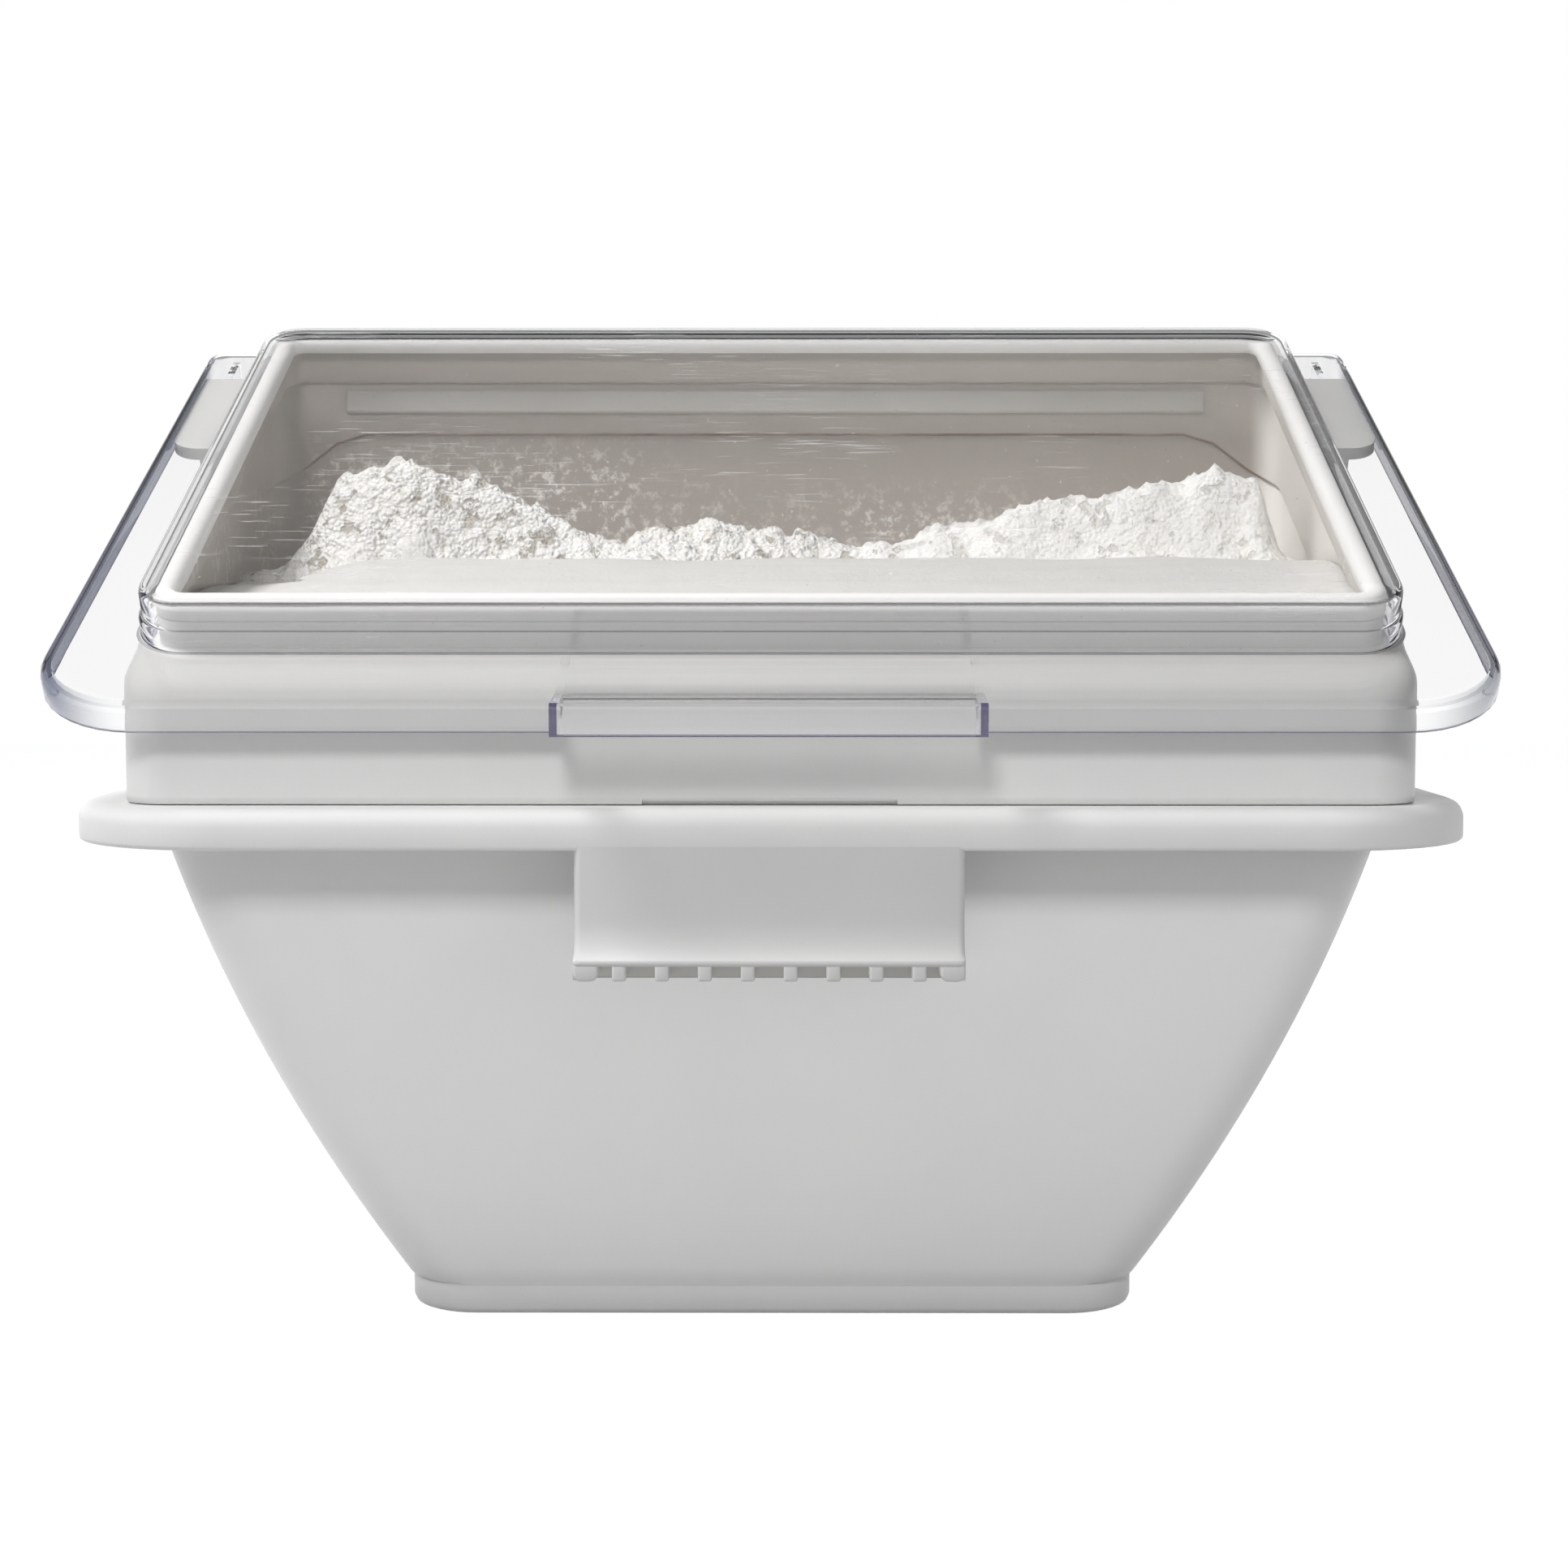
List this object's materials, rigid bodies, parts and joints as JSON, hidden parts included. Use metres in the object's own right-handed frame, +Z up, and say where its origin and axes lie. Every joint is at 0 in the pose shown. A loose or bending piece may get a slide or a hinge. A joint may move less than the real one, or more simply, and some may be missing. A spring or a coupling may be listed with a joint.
{
  "type": "flour bin",
  "caption": "White shelf bin for flour: tapered tub with a wide rim and pull handle, lift-off hood with a slanted mouth, and a clear hinged lid with a raised window.",
  "frame": {"origin": "middle of the foot's underside, on the surface it stands on", "axes": "+X across the bin to its right as the viewer faces it, +Y to the back where the hinge is, +Z up"},
  "size_m": [0.499, 0.3126, 0.377],
  "materials": {
    "white_plastic": "satin",
    "seal": "satin",
    "clear_sheet": "gloss",
    "flour": "matte"
  },
  "bodies": {
    "tub": {"tub": "white_plastic", "pull_handle": "white_plastic", "flour_fill": "flour"},
    "hood": {"hood": "white_plastic", "mouth_seal": "seal", "hinge_arm_left": "white_plastic", "hinge_arm_right": "white_plastic", "hinge_pin_left": "white_plastic", "hinge_pin_right": "white_plastic"},
    "lid": {"lid": "clear_sheet"}
  },
  "joints": [
    {"name": "hood_lift", "type": "slide", "parent": "tub", "child": "hood", "axis": [0, 0, 1], "range_m": [0, 0.06]},
    {"name": "lid_hinge", "type": "hinge", "parent": "hood", "child": "lid", "pos_m": [0, 0.13302, 0.3415], "axis": [-1, 0, 0], "range_deg": [0, 112]}
  ]
}
